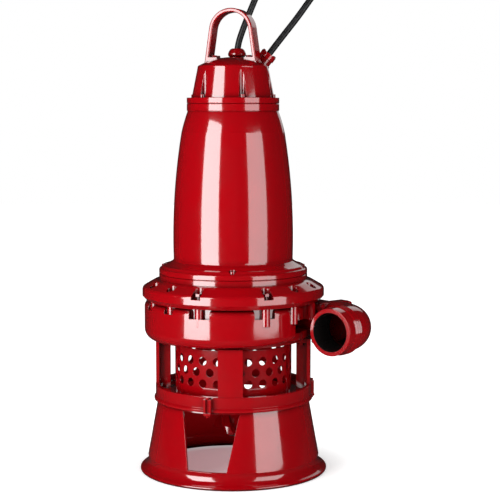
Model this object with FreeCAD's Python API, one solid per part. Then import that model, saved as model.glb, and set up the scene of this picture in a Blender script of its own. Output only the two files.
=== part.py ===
import FreeCAD, Part
import math
import os

# Submersible slurry pump, standing on its base.  Millimetres, +Z up.
# Origin: on the pump's shaft axis, at the level of the floor.
# Azimuths are degrees from the front (-Y), positive towards the right (+X).

V = FreeCAD.Vector
AXIS = V(0, 0, 1)

# ---------------------------------------------------------------- driving dimensions
BASE_RIM_R = 297.0           # rolled foot rim of the base skirt
BASE_FOOT_R = 272.0          # skirt wall just above the rim
BASE_TOP_R = 236.0           # skirt wall where it enters the strainer frame
BASE_WALL = 8.0
BASE_SLOPE_TOP_Z = 226.0
BASE_TOP_Z = 250.0

WINDOW_AZ = -17.0            # middle of the front window in the skirt
WINDOW_TOP_WIDTH = 182.0
WINDOW_FOOT_WIDTH = 124.0
WINDOW_FOOT_Z = 49.0
WINDOW_TOP_Z = 222.0

RING_R = 247.0               # lower ring of the strainer frame
RING_BEAD_R = 251.5
RING_INNER_R = 236.0
RING_FOOT_Z = 229.0
RING_TOP_Z = 275.0
SHELF_FOOT_Z = 250.0
SHELF_TOP_Z = 258.0
SHELF_INNER_R = 172.0
LEG_COUNT = 4
LEG_AZ = -1.5
LEG_WIDTH = 76.0
LEG_FLANGE = 10.0
LEG_WEB = 12.0
LEG_WEB_INNER_R = 200.0
LEG_TOP_Z = 421.0
CLAMP_AZ = -17.0             # first of the three base clamp bolts
CLAMP_COUNT = 3
CLAMP_R = 256.5
CLAMP_EAR = 8.0              # thickness of the skirt's ears under the ring

STRAINER_R = 185.0
STRAINER_WALL = 3.0
STRAINER_TOP_Z = 407.0
STRAINER_HOLE_R = 13.0
STRAINER_HOLES_ROUND = 24
STRAINER_ROWS = 3
STRAINER_FIRST_ROW_Z = 302.0
STRAINER_ROW_PITCH = 35.0

SUCTION_COVER_R = 228.0
SUCTION_EYE_R = 78.0
LIP_Z = 433.0                # underside of the casing's lip
LEG_ROOM_R = 248.0           # below the lip, the volute stays outside this radius
LEG_SCREW_TOP = 443.0
VOLUTE_Z = 475.0             # mid-height of the volute
CASING_TOP_Z = 544.0
CASING_TOP_R = 244.0
CASING_WALL = 12.0
SCROLL_INNER_R = 168.0
SCROLL_TOP = 68.5            # the volute's wall rises this far above its mid-height
SCROLL_TOP_CORNER = 20.0
TONGUE_AZ = 47.0
FRONT_POCKET_Z = 515.0       # floors of the pockets under the pump cover
BOLT_POCKET_Z = 522.0
NECK_BOLT_AZ = 112.5         # the bolt above the neck has no pocket

COVER_FOOT_Z = 545.0         # pump cover, the wide flange above the volute
COVER_RIM_R = 287.0
COVER_TOP_Z = 611.0
COVER_BOLT_R = 262.0
COVER_BOLT_SEAT_Z = 583.0
COVER_BOLT_PITCH = 22.5
SHOULDER_R = 234.0
OIL_TOP_Z = 628.0
SHOULDER_SCREW_R = 217.0
JOINT_CHAMFER = 2.0          # the housings' joints show as fine V grooves

MOTOR_TOP_Z = 1159.0
MOTOR_RING_R = 144.5
MOTOR_RING_FOOT_Z = 1136.0
STATOR_R = 165.0
STATOR_BORE_R = 105.0
STATOR_FOOT_Z = 720.0
STATOR_TOP_Z = 930.0
STATOR_SLOTS = 24
ROTOR_GAP = 0.8

CAP_FLANGE_Z = 1177.0        # top of the end cover's flange
CAP_SCREW_AZ = -46.0
CAP_SCREWS = 6
CAP_SCREW_R = 129.0
RECESS_R = 122.0             # middle of the rounded back of the screw recesses
RECESS_TOP_Z = 1268.0

HANDLE_YAW = 17.0            # the hoop's right leg stands nearer the front
HANDLE_WIDTH = 58.0
HANDLE_BAR = 12.0
HANDLE_EDGE_R = 4.0
HANDLE_R = 70.0              # outside of the hoop's bend
HANDLE_BEND_Z = 1383.0
HANDLE_SPLAY = 8.2
HANDLE_FOOT_Z = 1290.0
HANDLE_FOOT_LENGTH = 40.0

NECK_R = 66.0                # discharge neck, elbow and hose spigot
ELBOW_R = 69.0
ELBOW_BORE_R = 59.0
DISCHARGE_Z = 473.0
SPIGOT_END = V(293, -236, DISCHARGE_Z)
SPIGOT_HEADING = 233.13      # way that the spigot points, degrees from +X
SPIGOT_LENGTH = 80.0
SPIGOT_R = 72.5
SPIGOT_BARB_R = 75.5
ELBOW_TURN = 75.0
ELBOW_BEND_R = 85.0
NECK_FLANGE_BACK = 48.0      # flange joint to the start of the bend
FLANGE_HALF = 67.0
FLANGE_INSET = 11.0          # bolt centre to the flange's edge
FLANGE_THICK = 14.0

SPIGOT_SHANK_R = 71.8        # under the barbs, a little slimmer than the plain land
SPIGOT_SEAT_DEPTH = 14.0     # length of the thread inside the elbow's socket

CABLE_R = 10.0
SHAFT_END_Z = 112.0
SHAFT_FOOT_R = 17.0
IMPELLER_SEAT_R = 26.0
LOWER_BEARING_BORE = 37.5
LOWER_BEARING_R = 72.0
LOWER_BEARING_Z = 652.0
UPPER_BEARING_BORE = 25.0
UPPER_BEARING_R = 55.0
UPPER_BEARING_Z = 1022.0
BRACKET_SCREW_R = 132.0
O_RING_R = 116.5

POWER_SEAT = V(12, 66, 1293)             # foot of the power cable's gland
SIDE_SEAT = V(89.5, 34, 1282.5)          # foot of the control cable's gland, and its way out
SIDE_WAY = V(0.6, 0, 0.8)

# Both cables are held up from above: they leave their glands and lean to the right.
POWER_ROUTE = [
    V(12, 66, 1310),
    V(13.5, 66, 1340),
    V(29, 67, 1388),
    V(49, 69, 1438),
    V(75, 71, 1500),
]
CONTROL_ROUTE = [
    V(101.5, 34, 1298.5),
    V(120.7, 34.4, 1324),
    V(158, 36, 1372),
    V(199, 38, 1423.5),
    V(240.5, 40, 1481),
    V(268, 41.5, 1521),
]

os.makedirs("parts", exist_ok=True)


# ---------------------------------------------------------------- shape helpers
def write(name, shape):
    """Write one node's solid, or group of like solids, as a STEP file."""
    shape.exportStep("parts/" + name + ".step")
    print(f"{name:26s} solids {len(shape.Solids):3d}  volume {shape.Volume / 1000.0:10.1f} cm3"
          f"  valid {shape.isValid()}")


def around(azimuth, radius, z=0.0):
    """Point at an azimuth and radius about the pump's axis."""
    a = math.radians(azimuth)
    return V(radius * math.sin(a), -radius * math.cos(a), z)


def turned(shape, azimuth):
    """Copy of a shape modelled at the front, turned to an azimuth."""
    copy = shape.copy()
    copy.rotate(V(0, 0, 0), AXIS, azimuth)
    return copy


def ring_of(shape, count, first=0.0):
    """Copies of a front shape, evenly spaced round the axis."""
    return [turned(shape, first + 360.0 * k / count) for k in range(count)]


def revolved(points):
    """Solid of revolution of a closed (radius, z) outline about the pump's axis.

    A point given as three numbers is the middle of an arc between its neighbours.
    """
    edges = []
    count = len(points)
    k = 0
    while k < count:
        start = V(points[k][0], 0, points[k][1])
        after = points[(k + 1) % count]
        if len(after) == 3:
            end = points[(k + 2) % count]
            edges.append(Part.Arc(start, V(after[0], 0, after[1]), V(end[0], 0, end[1])).toShape())
            k += 2
        else:
            edges.append(Part.makeLine(start, V(after[0], 0, after[1])))
            k += 1
    return Part.Face(Part.Wire(edges)).revolve(V(0, 0, 0), AXIS, 360)


def rod(radius, start, end):
    """Round rod between two points."""
    way = end.sub(start)
    return Part.makeCylinder(radius, way.Length, start, way)


def tube(radius, bore, start, end):
    """Round tube between two points."""
    return rod(radius, start, end).cut(rod(bore, start, end))


def disc(radius, bore, foot, top):
    """Flat ring about the pump's axis."""
    return tube(radius, bore, V(0, 0, foot), V(0, 0, top))


def block(width, depth, height, centre):
    """Box about a centre point."""
    corner = centre.sub(V(width / 2, depth / 2, height / 2))
    return Part.makeBox(width, depth, height, corner)


def prism(sides, across_flats, start, end):
    """Prism with a regular outline, such as a hexagon head."""
    way = end.sub(start)
    corner = across_flats / 2 / math.cos(math.pi / sides)
    points = [
        V(corner * math.cos(2 * math.pi * k / sides), corner * math.sin(2 * math.pi * k / sides), 0)
        for k in range(sides + 1)
    ]
    shape = Part.Face(Part.makePolygon(points)).extrude(V(0, 0, way.Length))
    shape.Placement = FreeCAD.Placement(start, FreeCAD.Rotation(AXIS, way))
    return shape


def hex_bolt(radius, flats, head, top, length):
    """Hexagon bolt hanging from the underside of its head at the point top."""
    down = V(0, 0, -length)
    return prism(6, flats, top, top.add(V(0, 0, head))).fuse(rod(radius, top, top.add(down)))


def socket_screw(radius, head_r, head, top, length, way=AXIS):
    """Socket head screw: way points from the shank out through the head."""
    end = top.add(way * head)
    body = rod(head_r, top, end).fuse(rod(radius, top, top.sub(way * length)))
    socket = prism(6, radius * 1.6, end.sub(way * head * 0.5), end)
    return body.cut(socket)


def joined(shapes):
    """One shape fused from several."""
    first = shapes[0]
    return first.fuse(shapes[1:]).removeSplitter() if len(shapes) > 1 else first


# ---------------------------------------------------------------- base skirt
def window_cutter(azimuth):
    """Trapezium window, narrower at its foot, cut through one side of the skirt."""
    half_top = WINDOW_TOP_WIDTH / 2
    half_foot = WINDOW_FOOT_WIDTH / 2
    outline = [
        V(-half_foot, 0, WINDOW_FOOT_Z),
        V(half_foot, 0, WINDOW_FOOT_Z),
        V(half_top, 0, WINDOW_TOP_Z),
        V(-half_top, 0, WINDOW_TOP_Z),
        V(-half_foot, 0, WINDOW_FOOT_Z),
    ]
    face = Part.Face(Part.makePolygon(outline))
    return turned(face.extrude(V(0, -2 * BASE_RIM_R, 0)), azimuth)


def base_skirt():
    """Conical stand: rolled rim on the floor, two windows, three clamp ears."""
    wall = BASE_WALL
    skirt = revolved([
        (BASE_RIM_R - 4, 0),
        (BASE_RIM_R, 5, 0),
        (BASE_RIM_R - 5, 11),
        (281, 17, 0),
        (BASE_FOOT_R, 48),
        (BASE_TOP_R + 4, BASE_SLOPE_TOP_Z),
        (BASE_TOP_R - 0.5, BASE_SLOPE_TOP_Z + 2),
        (BASE_TOP_R - 0.5, BASE_TOP_Z),
        (BASE_TOP_R - wall, BASE_TOP_Z),
        (BASE_TOP_R - wall, BASE_SLOPE_TOP_Z - 4),
        (BASE_FOOT_R - wall, 48),
        (272, 10, 0),
        (284, 0),
    ])
    for azimuth in (WINDOW_AZ, WINDOW_AZ + 180):
        skirt = skirt.cut(window_cutter(azimuth))
    ear = block(22, 34, CLAMP_EAR, V(0, -(CLAMP_R - 8), RING_FOOT_Z - CLAMP_EAR / 2))
    ear = ear.cut(rod(5.2, V(0, -CLAMP_R, 200), V(0, -CLAMP_R, 240)))
    inside = revolved([(0, 0), (BASE_TOP_R - wall / 2, 0), (BASE_TOP_R - wall / 2, 260), (0, 260)])
    ears = [ear_copy.cut(inside) for ear_copy in ring_of(ear, CLAMP_COUNT, CLAMP_AZ)]
    return joined([skirt] + ears)


# ---------------------------------------------------------------- strainer frame and plate
def leg():
    """One T-section leg, at the front: curved outer flange, web and screw pad."""
    tall = LEG_TOP_Z - SHELF_TOP_Z
    middle = (LEG_TOP_Z + SHELF_TOP_Z) / 2
    flange = disc(RING_R - 1, RING_INNER_R, SHELF_TOP_Z, LEG_TOP_Z)
    flange = flange.common(block(LEG_WIDTH, 2 * RING_R, tall, V(0, -RING_R, middle)))
    depth = RING_R - 4 - LEG_WEB_INNER_R
    web = block(LEG_WEB, depth, tall, V(0, -(LEG_WEB_INNER_R + depth / 2), middle))
    pad = block(54, 38, 14, V(0, -(LEG_WEB_INNER_R + 19), LEG_TOP_Z - 7))
    return joined([flange, web, pad])


def strainer_frame():
    """Lower ring with its shelf, four legs and three clamp lugs."""
    ring = revolved([
        (RING_INNER_R, RING_FOOT_Z),
        (RING_BEAD_R, RING_FOOT_Z),
        (RING_BEAD_R, RING_FOOT_Z + 6),
        (RING_R, RING_FOOT_Z + 12),
        (RING_R, RING_TOP_Z),
        (RING_INNER_R - 2, RING_TOP_Z),
        (RING_INNER_R - 6, SHELF_TOP_Z),
        (SHELF_INNER_R, SHELF_TOP_Z),
        (SHELF_INNER_R, SHELF_FOOT_Z),
        (RING_INNER_R, SHELF_FOOT_Z),
    ])
    lug_middle = (RING_TOP_Z + RING_FOOT_Z) / 2 - 2
    lug = block(24, 22, RING_TOP_Z - RING_FOOT_Z - 4, V(0, -(CLAMP_R - 4), lug_middle))
    slot = block(9, 16, 80, V(0, -(CLAMP_R + 2), 250))
    core = revolved([(0, 200), (RING_R - 3, 200), (RING_R - 3, 300), (0, 300)])
    lug = lug.cut(core)
    frame = joined([ring] + ring_of(leg(), LEG_COUNT, LEG_AZ) + ring_of(lug, CLAMP_COUNT, CLAMP_AZ))
    for cutter in ring_of(slot, CLAMP_COUNT, CLAMP_AZ):
        frame = frame.cut(cutter)
    return frame.cut(leg_screw_holes(LEG_TOP_Z - 20, LEG_TOP_Z + 5))


def leg_screw_points(z):
    """Two screw axes beside the web of each leg, as points at a height."""
    points = []
    for k in range(LEG_COUNT):
        for side in (-1, 1):
            p = V(side * 16, -215, z)
            points.append(FreeCAD.Rotation(AXIS, LEG_AZ + 360.0 * k / LEG_COUNT).multVec(p))
    return points


def leg_screw_holes(foot, top):
    """Round cutters along the leg screws' axes."""
    return [rod(6, p, V(p.x, p.y, top)) for p in leg_screw_points(foot)]


def leg_screws():
    """Two hexagon screws up through the top pad of each leg into the casing."""
    screws = []
    for p in leg_screw_points(LEG_TOP_Z - 14):
        head = prism(6, 18, p.sub(V(0, 0, 8)), p)
        screws.append(head.fuse(rod(6, p, V(p.x, p.y, LEG_SCREW_TOP))))
    return Part.makeCompound(screws)


def clamp_bolts():
    """Three upright bolts with nuts that clamp the frame to the base skirt."""
    top = V(0, -CLAMP_R, RING_TOP_Z - 4)
    foot = V(0, -CLAMP_R, RING_FOOT_Z - CLAMP_EAR)
    bolt = hex_bolt(4, 13, 6, top, top.z - foot.z + 7)
    nut = prism(6, 13, foot.sub(V(0, 0, 6)), foot)
    return Part.makeCompound(ring_of(bolt.fuse(nut), CLAMP_COUNT, CLAMP_AZ))


def strainer_plate():
    """Perforated cylinder: three staggered rows of round holes."""
    plate = disc(STRAINER_R, STRAINER_R - STRAINER_WALL, SHELF_TOP_Z, STRAINER_TOP_Z)
    pitch = 360.0 / STRAINER_HOLES_ROUND
    cutters = []
    for row in range(STRAINER_ROWS):
        z = STRAINER_FIRST_ROW_Z + row * STRAINER_ROW_PITCH
        offset = pitch / 2 * (row % 2)
        hole = rod(STRAINER_HOLE_R, V(0, -STRAINER_R - 10, z), V(0, -STRAINER_R + 20, z))
        cutters += ring_of(hole, STRAINER_HOLES_ROUND, offset)
    return plate.cut(cutters)


# ---------------------------------------------------------------- wet end
def suction_cover():
    """Wear plate that closes the casing from below, with the pump's inlet eye."""
    plate = revolved([
        (SUCTION_EYE_R + 8, LEG_TOP_Z),
        (SUCTION_COVER_R, LEG_TOP_Z),
        (SUCTION_COVER_R, LIP_Z),
        (203.5, LIP_Z),
        (203.5, LIP_Z + 9),
        (SUCTION_EYE_R, LIP_Z + 9),
        (SUCTION_EYE_R, LEG_TOP_Z + 8),
    ])
    return plate.cut(leg_screw_holes(LEG_TOP_Z - 5, LIP_Z + 5))


def scroll_section(azimuth, inner_r, outer_r, foot, top, foot_corner, top_corner):
    """One section of the volute: a box with its outer corners rounded."""
    lean = math.sin(math.pi / 4)
    foot_set = foot_corner * (1 - lean)
    top_set = top_corner * (1 - lean)
    points = [
        (inner_r, foot),
        (outer_r - foot_corner, foot),
        (outer_r - foot_set, foot + foot_set),
        (outer_r, foot + foot_corner),
        (outer_r, top - top_corner),
        (outer_r - top_set, top - top_set),
        (outer_r - top_corner, top),
        (inner_r, top),
    ]
    p = [around(azimuth, r, VOLUTE_Z + z) for r, z in points]
    edges = [
        Part.makeLine(p[0], p[1]),
        Part.Arc(p[1], p[2], p[3]).toShape(),
        Part.makeLine(p[3], p[4]),
        Part.Arc(p[4], p[5], p[6]).toShape(),
        Part.makeLine(p[6], p[7]),
        Part.makeLine(p[7], p[0]),
    ]
    return Part.Wire(edges)


def scroll(wall):
    """Volute from its tongue, clockwise from above, to the discharge neck.

    The section grows evenly with the angle travelled.  The outside's wall stands up to
    the pump cover and rounds over to the neck at its end; a wall gives the hollow.
    """
    sections = []
    steps = 10
    sweep = 360.0 - (NECK_AZ - TONGUE_AZ)
    neck_r = NECK_OFFSET + NECK_R
    for k in range(steps + 1):
        share = k / steps
        half = 36 + (NECK_R - 36) * share ** 0.5
        corner = half * (0.55 + 0.43 * share ** 2)
        if wall:
            outer_r = 250 + (neck_r - 250) * share ** 1.2 - wall
            top = half - wall
            top_corner = max(corner - wall, 6)
            foot_corner = top_corner
        else:
            outer_r = 262 + (neck_r - 262) * share ** 0.6
            rounding = max(share - 0.7, 0) / 0.3
            top = SCROLL_TOP + (NECK_R - SCROLL_TOP) * rounding
            top_corner = SCROLL_TOP_CORNER + (corner - SCROLL_TOP_CORNER) * rounding
            foot_corner = corner
        azimuth = TONGUE_AZ - sweep * share
        inner_r = SCROLL_INNER_R - wall
        sections.append(scroll_section(azimuth, inner_r, outer_r, wall - half, top, foot_corner, top_corner))
    return Part.makeLoft(sections, True, False)


def heading(degrees):
    """Level unit vector, degrees from +X towards +Y."""
    return V(math.cos(math.radians(degrees)), math.sin(math.radians(degrees)), 0)


SPIGOT_WAY = heading(SPIGOT_HEADING)
NECK_WAY = heading(SPIGOT_HEADING + ELBOW_TURN)
NECK_OUT = heading(SPIGOT_HEADING + ELBOW_TURN + 90)     # from the pump's axis to the neck's line
SPIGOT_FOOT = SPIGOT_END.sub(SPIGOT_WAY * SPIGOT_LENGTH)
BEND_CENTRE = SPIGOT_FOOT.add(heading(SPIGOT_HEADING - 90) * ELBOW_BEND_R)
BEND_START = BEND_CENTRE.add(NECK_OUT * ELBOW_BEND_R)
NECK_OFFSET = BEND_START.dot(NECK_OUT)
NECK_START = V(NECK_OUT.x * NECK_OFFSET, NECK_OUT.y * NECK_OFFSET, DISCHARGE_Z)
NECK_AZ = math.degrees(math.atan2(NECK_OUT.x, -NECK_OUT.y))
NECK_JOINT = BEND_START.sub(NECK_WAY * NECK_FLANGE_BACK)
BEND_AT = V(BEND_START.x, BEND_START.y, DISCHARGE_Z)
SPIGOT_SEAT = SPIGOT_FOOT.add(SPIGOT_WAY * SPIGOT_SEAT_DEPTH)


def square_flange(start, way):
    """Rounded square flange, standing on its point start and growing along way."""
    half = FLANGE_HALF
    plate = Part.makeBox(2 * half, 2 * half, FLANGE_THICK, V(-half, -half, 0))
    plate = plate.makeFillet(16, [e for e in plate.Edges if abs(e.tangentAt(0).z) > 0.9])
    for x in (-1, 1):
        for y in (-1, 1):
            at = V(x * (half - FLANGE_INSET), y * (half - FLANGE_INSET), -5)
            plate = plate.cut(Part.makeCylinder(6, 30, at))
    side = AXIS.cross(way)
    plate.Placement = FreeCAD.Placement(start, FreeCAD.Rotation(side, AXIS, way, "ZXY"))
    return plate


def flange_points():
    """Offsets of the four discharge flange bolts from the neck's line."""
    side = AXIS.cross(NECK_WAY)
    reach = FLANGE_HALF - FLANGE_INSET
    return [side * (x * reach) + V(0, 0, y * reach) for x in (-1, 1) for y in (-1, 1)]


def volute_casing():
    """Cast volute with its top ring, bolt bosses, lip, discharge neck and flange."""
    outer = scroll(0)
    top_ring = disc(CASING_TOP_R, SCROLL_INNER_R - 10, VOLUTE_Z + 20, CASING_TOP_Z)
    lip = disc(240, 204, LIP_Z, VOLUTE_Z - 20)
    neck = rod(NECK_R, NECK_START, NECK_JOINT)
    flange = square_flange(NECK_JOINT.sub(NECK_WAY * FLANGE_THICK), NECK_WAY)
    body = outer.fuse([top_ring, lip, neck])
    for side in (-1, 1):
        pocket = block(66, 60, 60, V(0, -(254 + 30), FRONT_POCKET_Z + 30))
        body = body.cut(turned(pocket, side * 21.5))
    pocket = block(36, 80, 60, V(0, -(COVER_BOLT_R + 40), BOLT_POCKET_Z + 30))
    for azimuth in bolt_azimuths():
        if azimuth != NECK_BOLT_AZ:
            body = body.cut(turned(pocket, azimuth))
    body = body.cut(rod(LEG_ROOM_R, V(0, 0, 380), V(0, 0, LIP_Z)))
    boss = rod(13, V(0, -COVER_BOLT_R, 492), V(0, -COVER_BOLT_R, COVER_FOOT_Z))
    web = block(20, 30, 50, V(0, -245, 519))
    bosses = []
    for azimuth in bolt_azimuths():
        bosses.append(turned(boss.fuse(web), azimuth))
    body = body.fuse(bosses + [flange])
    bore = rod(NECK_R - CASING_WALL + 4, NECK_START, NECK_JOINT.add(NECK_WAY * 5))
    floor = rod(LEG_ROOM_R + CASING_WALL, V(0, 0, 380), V(0, 0, LIP_Z + CASING_WALL))
    hollow = scroll(CASING_WALL).fuse(bore).cut(floor)
    body = body.cut([
        hollow,
        rod(175, V(0, 0, 445), V(0, 0, 560)),
        rod(204, V(0, 0, 420), V(0, 0, 446)),
    ] + leg_screw_holes(LIP_Z - 5, LEG_SCREW_TOP))
    return body


def bolt_azimuths():
    """Azimuths of the pump cover bolts: three in each quarter, none on its edges."""
    return [q * 90 + k * COVER_BOLT_PITCH for q in range(4) for k in (1, 2, 3)]


def casing_gasket():
    """Flat gasket between the casing's top ring and the pump cover."""
    return disc(CASING_TOP_R - 4, 178, CASING_TOP_Z, COVER_FOOT_Z)


def pump_cover():
    """Wide flange that carries the casing: coned top, bolt pockets, seal housing."""
    cover = revolved([
        (38, 522),
        (174, 522),
        (174, COVER_FOOT_Z),
        (COVER_RIM_R - 13, COVER_FOOT_Z),
        (COVER_RIM_R, COVER_FOOT_Z + 14),
        (COVER_RIM_R, 578),
        (COVER_RIM_R - 1.2, 583.5, 0),
        (COVER_RIM_R - 5, 588),
        (256, 603),
        (248, 607, 0),
        (SHOULDER_R, COVER_TOP_Z),
        (150, COVER_TOP_Z),
        (150, 570),
        (64, 570),
        (64, 604),
        (38, 604),
    ])
    foot = V(0, -COVER_BOLT_R, COVER_BOLT_SEAT_Z)
    pocket = rod(15, foot, foot.add(V(0, 0, 40)))
    notch = block(30, 60, 44, V(0, -(COVER_BOLT_R + 30), COVER_BOLT_SEAT_Z + 14))
    hole = rod(7, V(0, -COVER_BOLT_R, 530), foot)
    cutters = []
    for azimuth in bolt_azimuths():
        cutters.append(turned(pocket, azimuth))
        cutters.append(turned(hole, azimuth))
        if azimuth % 180 in (COVER_BOLT_PITCH, 180 - COVER_BOLT_PITCH):
            cutters.append(turned(notch, azimuth))
    screw_hole = rod(6, V(0, -SHOULDER_SCREW_R, 585), V(0, -SHOULDER_SCREW_R, 620))
    return cover.cut(cutters + ring_of(screw_hole, 4))


def pump_cover_bolts():
    """Twelve hexagon bolts through the pump cover into the casing's bosses."""
    top = V(0, -COVER_BOLT_R, COVER_BOLT_SEAT_Z)
    bolt = hex_bolt(7, 21, 9, top, COVER_BOLT_SEAT_Z - COVER_FOOT_Z)
    return Part.makeCompound([turned(bolt, azimuth) for azimuth in bolt_azimuths()])


def discharge_gasket():
    """Gasket between the casing's outlet flange and the elbow."""
    sheet = rod(NECK_R - 1, NECK_JOINT, NECK_JOINT.add(NECK_WAY * 2))
    return sheet.cut(rod(ELBOW_BORE_R, NECK_JOINT, NECK_JOINT.add(NECK_WAY * 2)))


def bend(radius):
    """Solid round bend from the end of the neck's straight to the spigot's foot."""
    face = Part.Face(Part.Wire(Part.makeCircle(radius, BEND_AT, NECK_WAY)))
    return face.revolve(V(BEND_CENTRE.x, BEND_CENTRE.y, 0), V(0, 0, -1), ELBOW_TURN)


def discharge_elbow():
    """Cast elbow: square flange, straight, bend and the socket for the hose spigot."""
    start = NECK_JOINT.add(NECK_WAY * 2)
    thread_start = SPIGOT_SEAT.sub(SPIGOT_WAY * SPIGOT_SEAT_DEPTH)
    past_end = SPIGOT_SEAT.add(SPIGOT_WAY * 5)
    body = square_flange(start, NECK_WAY).fuse([
        rod(ELBOW_R, start, BEND_AT),
        bend(ELBOW_R),
        rod(ELBOW_R, SPIGOT_FOOT, SPIGOT_SEAT),
    ])
    return body.cut([
        rod(ELBOW_BORE_R, start.sub(NECK_WAY * 5), BEND_AT),
        bend(ELBOW_BORE_R),
        rod(ELBOW_BORE_R, SPIGOT_FOOT, past_end),
        rod(ELBOW_BORE_R + 4, thread_start, past_end),
    ])


def elbow_bolts():
    """Four bolts with nuts through the discharge flanges."""
    bolts = []
    start = NECK_JOINT.sub(NECK_WAY * FLANGE_THICK)
    end = NECK_JOINT.add(NECK_WAY * (FLANGE_THICK + 2))
    for offset in flange_points():
        a = start.add(offset)
        b = end.add(offset)
        bolts.append(joined([
            rod(6, a, b),
            prism(6, 16, a.sub(NECK_WAY * 8), a),
            prism(6, 16, b, b.add(NECK_WAY * 8)),
        ]))
    return Part.makeCompound(bolts)


def hose_spigot():
    """Hose tail: a thread into the elbow, three shallow barbs and a plain land."""
    end = SPIGOT_END
    foot = SPIGOT_SEAT
    pitch = 11
    barb = 9
    land = foot.add(SPIGOT_WAY * (3 + 2 * pitch + barb))
    chamfer = 1.5
    land_end = end.sub(SPIGOT_WAY * chamfer)
    parts = [
        rod(ELBOW_BORE_R + 4, foot.sub(SPIGOT_WAY * SPIGOT_SEAT_DEPTH), foot),
        rod(SPIGOT_SHANK_R, foot, land),
        rod(SPIGOT_R, land, land_end),
        Part.makeCone(SPIGOT_R, SPIGOT_R - chamfer, chamfer, land_end, SPIGOT_WAY),
    ]
    for k in range(3):
        at = foot.add(SPIGOT_WAY * (3 + pitch * k))
        parts.append(Part.makeCone(SPIGOT_BARB_R, SPIGOT_SHANK_R, barb, at, SPIGOT_WAY))
    body = joined(parts)
    bore = rod(ELBOW_BORE_R, foot.sub(SPIGOT_WAY * 20), end.add(SPIGOT_WAY * 5))
    return body.cut(bore)


def impeller():
    """Semi-open impeller: back disc, hub and three swept vanes."""
    disc_part = disc(150, IMPELLER_SEAT_R, 502, 512)
    hub = disc(44, IMPELLER_SEAT_R, 446, 512)
    vanes = []
    for k in range(3):
        outer = rod(95, V(70, 0, 444), V(70, 0, 503))
        inner = rod(83, V(70, 0, 440), V(70, 0, 510))
        vane = outer.cut(inner).common(block(180, 100, 59, V(45, -50, 473.5)))
        vane = vane.common(rod(149, V(0, 0, 440), V(0, 0, 520)))
        vanes.append(turned(vane, 120 * k))
    hub_bore = rod(IMPELLER_SEAT_R, V(0, 0, 430), V(0, 0, 520))
    nut_room = rod(35, V(0, 0, 430), V(0, 0, 446))
    return joined([disc_part, hub] + vanes).cut([hub_bore, nut_room])


def agitator():
    """Agitator head at the shaft's foot: hub with three twisted digging lobes."""
    hub = revolved([(SHAFT_FOOT_R, 122), (30, 122), (38, 140, 0), (34, 176), (28, 184), (SHAFT_FOOT_R, 184)])
    envelope = revolved([(0, 122), (76, 122), (72, 146), (44, 176), (0, 176)])
    lobe = block(70, 16, 80, V(45, 0, 148))
    lobe.rotate(V(45, 0, 148), V(1, 0, 0), 24)
    lobes = [turned(lobe.common(envelope), 120 * k + 15) for k in range(3)]
    return joined([hub] + lobes).cut(rod(SHAFT_FOOT_R, V(0, 0, 110), V(0, 0, 190)))


def agitator_nut():
    """Cap nut that holds the agitator on the shaft's foot."""
    nut = prism(6, 32, V(0, 0, 104), V(0, 0, 122))
    return nut.cut(rod(10, V(0, 0, SHAFT_END_Z), V(0, 0, 130)))


def shaft():
    """Stepped shaft from the upper bearing down to the agitator."""
    return revolved([
        (0, SHAFT_END_Z),
        (10, SHAFT_END_Z),
        (10, 122),
        (SHAFT_FOOT_R, 122),
        (SHAFT_FOOT_R, 184),
        (22, 184),
        (22, 430),
        (IMPELLER_SEAT_R, 434),
        (IMPELLER_SEAT_R, 512),
        (30, 512),
        (30, 652),
        (LOWER_BEARING_BORE, 652),
        (LOWER_BEARING_BORE, 690),
        (42, 690),
        (42, 700),
        (35, 700),
        (35, 1000),
        (30, 1000),
        (30, 1022),
        (UPPER_BEARING_BORE, 1022),
        (UPPER_BEARING_BORE, 1062),
        (0, 1062),
    ])


def impeller_nut():
    """Slotted ring nut that draws the impeller up its seat."""
    return disc(34, IMPELLER_SEAT_R, 436, 446)


def seal_rotor(foot):
    """Turning half of a mechanical seal: carrier and carbon face."""
    return disc(35, 30.0, foot, foot + 14)


def seal_seat(foot, outer):
    """Stationary seal face, pressed into its housing."""
    return disc(outer, 31.5, foot, foot + 10)


def seal_spring(foot, top):
    """Coil spring that presses the seal's turning half against its seat."""
    turns = 4
    wire_r = 1.8
    pitch = (top - foot - 2 * wire_r) / turns
    helix = Part.makeHelix(pitch, pitch * turns, 34)
    circle = Part.Wire(Part.makeCircle(wire_r, V(34, 0, 0), V(0, 1, 0)))
    coil = Part.Wire(helix).makePipeShell([circle], True, True)
    coil.translate(V(0, 0, foot + wire_r))
    return coil


def oil_housing():
    """Ring and ceiling of the oil chamber between the pump cover and the motor."""
    housing = revolved([
        (150, COVER_TOP_Z),
        (SHOULDER_R, COVER_TOP_Z),
        (SHOULDER_R, OIL_TOP_Z - JOINT_CHAMFER),
        (SHOULDER_R - JOINT_CHAMFER, OIL_TOP_Z),
        (160, OIL_TOP_Z),
        (160, 644),
        (50, 644),
        (50, 632),
        (150, 632),
    ])
    hole = rod(6, V(0, -SHOULDER_SCREW_R, 605), V(0, -SHOULDER_SCREW_R, 635))
    plug_hole = rod(7, around(150, 224, 619.5), around(150, 250, 619.5))
    return housing.cut(ring_of(hole, 4) + [plug_hole])


def oil_plug():
    """Socket plug screwed into the oil chamber's side, at the back."""
    plug = rod(7, around(150, 224, 619.5), around(150, 235.5, 619.5))
    return plug.cut(prism(6, 8, around(150, 231, 619.5), around(150, 236, 619.5)))


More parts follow.
